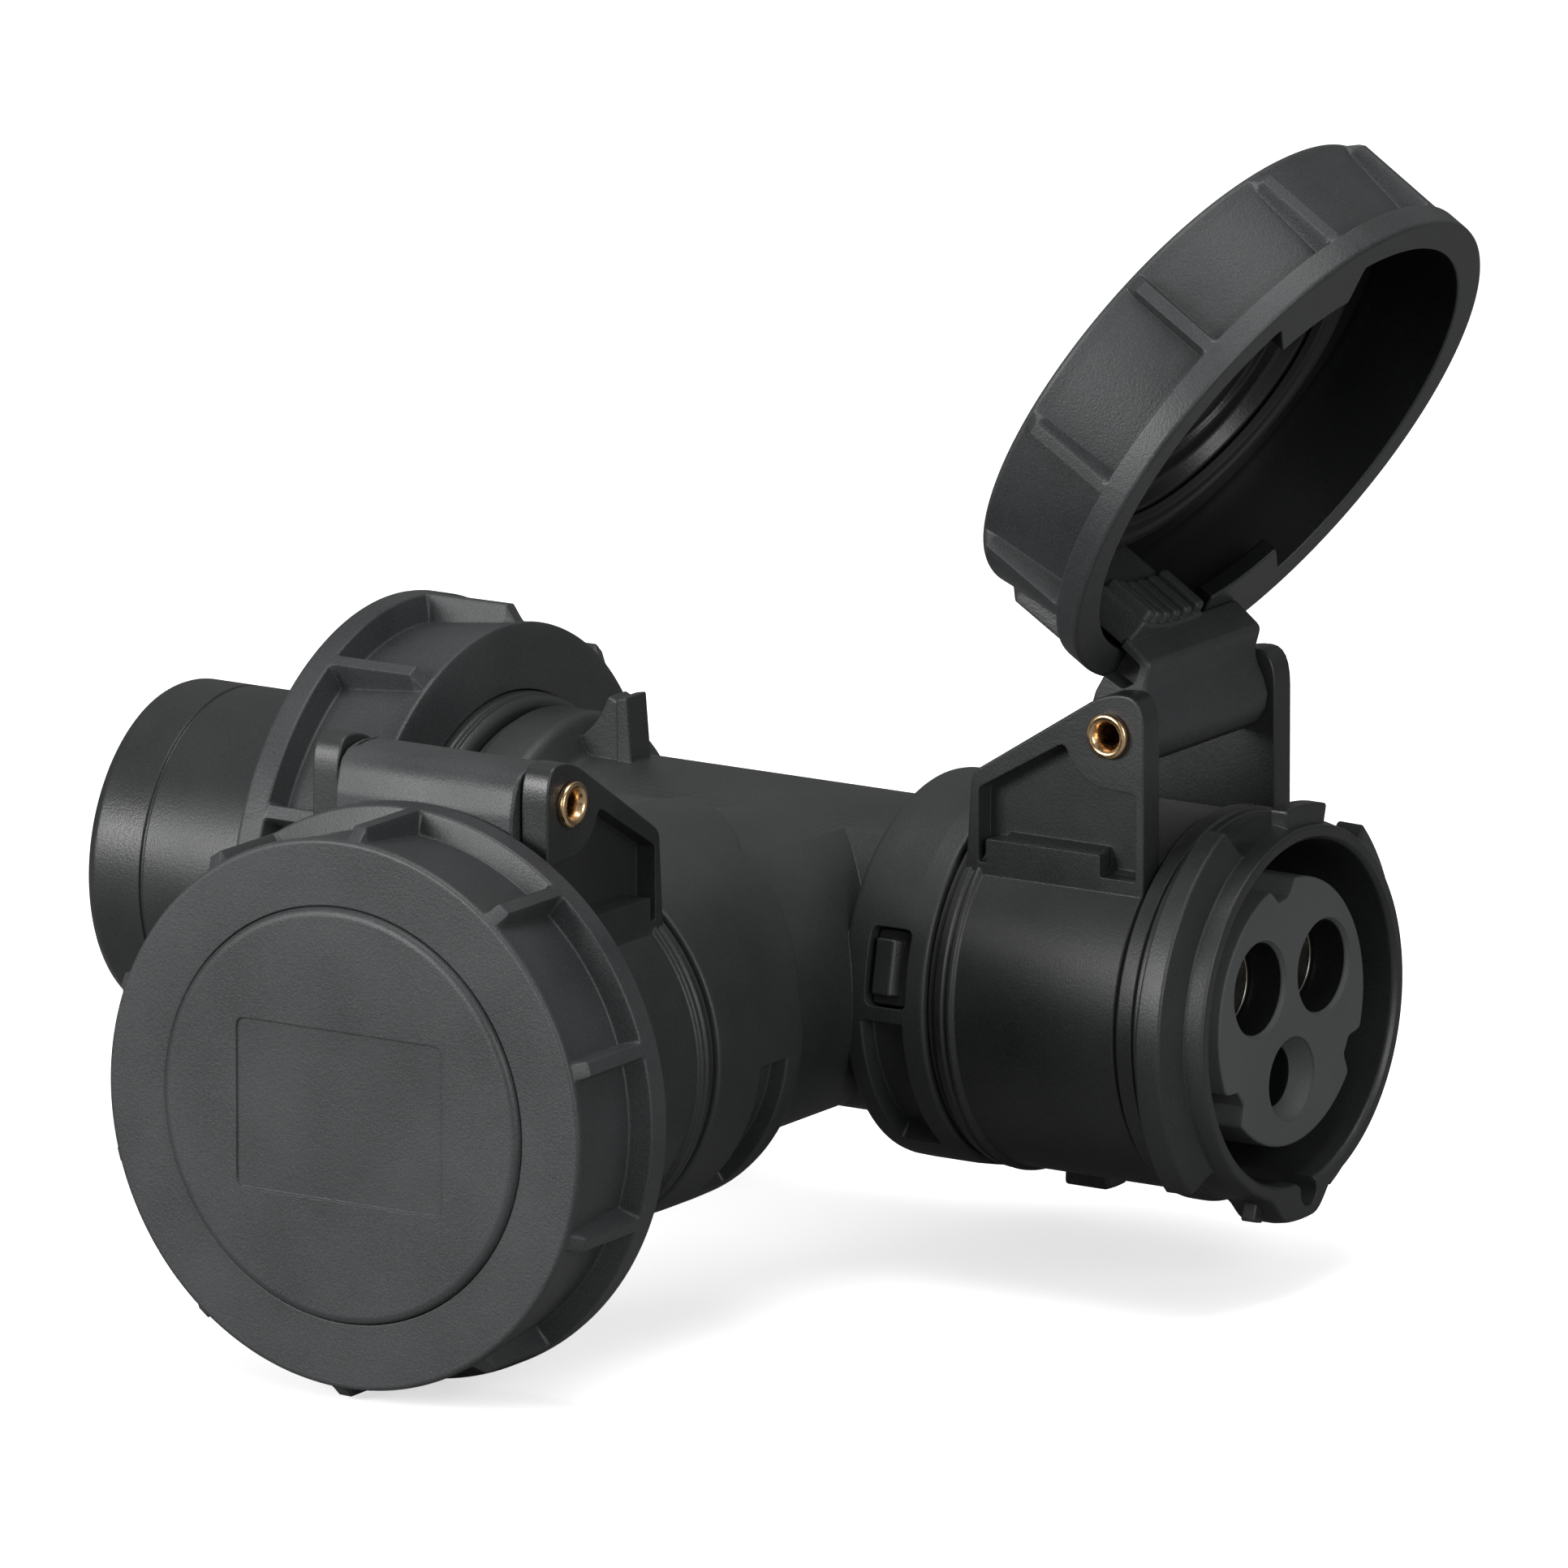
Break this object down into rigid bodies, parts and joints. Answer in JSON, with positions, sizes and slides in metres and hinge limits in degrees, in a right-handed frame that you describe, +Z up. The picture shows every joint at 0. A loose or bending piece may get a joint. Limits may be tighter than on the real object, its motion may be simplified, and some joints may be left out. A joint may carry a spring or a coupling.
{
  "type": "three-way power splitter",
  "caption": "Weatherproof T-shaped power splitter: a round pin inlet with a bayonet ring, a socket in line and a socket on the side, each with a hinged lid and bayonet ring.",
  "frame": {"origin": "bottom centre of the whole part's bounding box, with the in-line lid open", "axes": "+X from the plug inlet to the socket in line, -Y out of the side socket, +Z up, on the lids' hinge side"},
  "size_m": [0.1856, 0.1472, 0.1474],
  "materials": {
    "housing_black": "fine matte grain",
    "shell_black": "satin",
    "carrier_grey": "matte",
    "seal_rubber": "matte",
    "contact_brass": "polished",
    "spring_steel": "bright",
    "lead_brown": "satin",
    "lead_blue": "satin",
    "lead_green": "satin"
  },
  "bodies": {
    "root": {"inline_body_seal": "seal_rubber", "inline_contact_earth": "contact_brass", "inline_contact_insert": "carrier_grey", "inline_contact_line": "contact_brass", "inline_contact_neutral": "contact_brass", "inline_hinge_pin": "contact_brass", "inline_latch": "shell_black", "inline_lid_spring": "spring_steel", "inline_socket_shell": "shell_black", "lead_earth_branch": "lead_green", "lead_earth_run": "lead_green", "lead_earth_splice": "spring_steel", "lead_line_branch": "lead_brown", "lead_line_run": "lead_brown", "lead_line_splice": "spring_steel", "lead_neutral_branch": "lead_blue", "lead_neutral_run": "lead_blue", "lead_neutral_splice": "spring_steel", "plug_body_seal": "seal_rubber", "plug_carrier": "carrier_grey", "plug_pin_earth": "contact_brass", "plug_pin_line": "contact_brass", "plug_pin_neutral": "contact_brass", "plug_seal": "seal_rubber", "plug_shell": "shell_black", "side_body_seal": "seal_rubber", "side_contact_earth": "contact_brass", "side_contact_insert": "carrier_grey", "side_contact_line": "contact_brass", "side_contact_neutral": "contact_brass", "side_hinge_pin": "contact_brass", "side_latch": "shell_black", "side_lid_spring": "spring_steel", "side_socket_shell": "shell_black", "tee_housing": "housing_black"},
    "inline_lid": {"inline_lid_cap": "housing_black", "inline_lid_seal": "seal_rubber"},
    "inline_ring": {"inline_lid_ring": "housing_black"},
    "side_lid": {"side_lid_cap": "housing_black", "side_lid_seal": "seal_rubber"},
    "side_ring": {"side_lid_ring": "housing_black"},
    "plug_ring": {"plug_ring": "housing_black"}
  },
  "joints": [
    {"name": "inline_lid_hinge", "type": "hinge", "parent": "root", "child": "inline_lid", "pos_m": [0.0594, 0.0366, 0.074], "axis": [0, -1, 0], "range_deg": [-147.8, 0]},
    {"name": "inline_ring_turn", "type": "hinge", "parent": "inline_lid", "child": "inline_ring", "pos_m": [0.06397, 0.0366, 0.11485], "axis": [0.8462, 0, -0.5329], "range_deg": [0, 40]},
    {"name": "side_lid_hinge", "type": "hinge", "parent": "root", "child": "side_lid", "pos_m": [0.00571, -0.0489, 0.074], "axis": [-1, 0, 0], "range_deg": [0, 147.8]},
    {"name": "side_ring_turn", "type": "hinge", "parent": "side_lid", "child": "side_ring", "pos_m": [0.00571, -0.0668, 0.037], "axis": [0, 1, 0], "range_deg": [0, 40]},
    {"name": "plug_ring_turn", "type": "hinge", "parent": "root", "child": "plug_ring", "pos_m": [-0.0928, 0.0366, 0.037], "axis": [-1, 0, 0], "range_deg": [0, 40]}
  ]
}
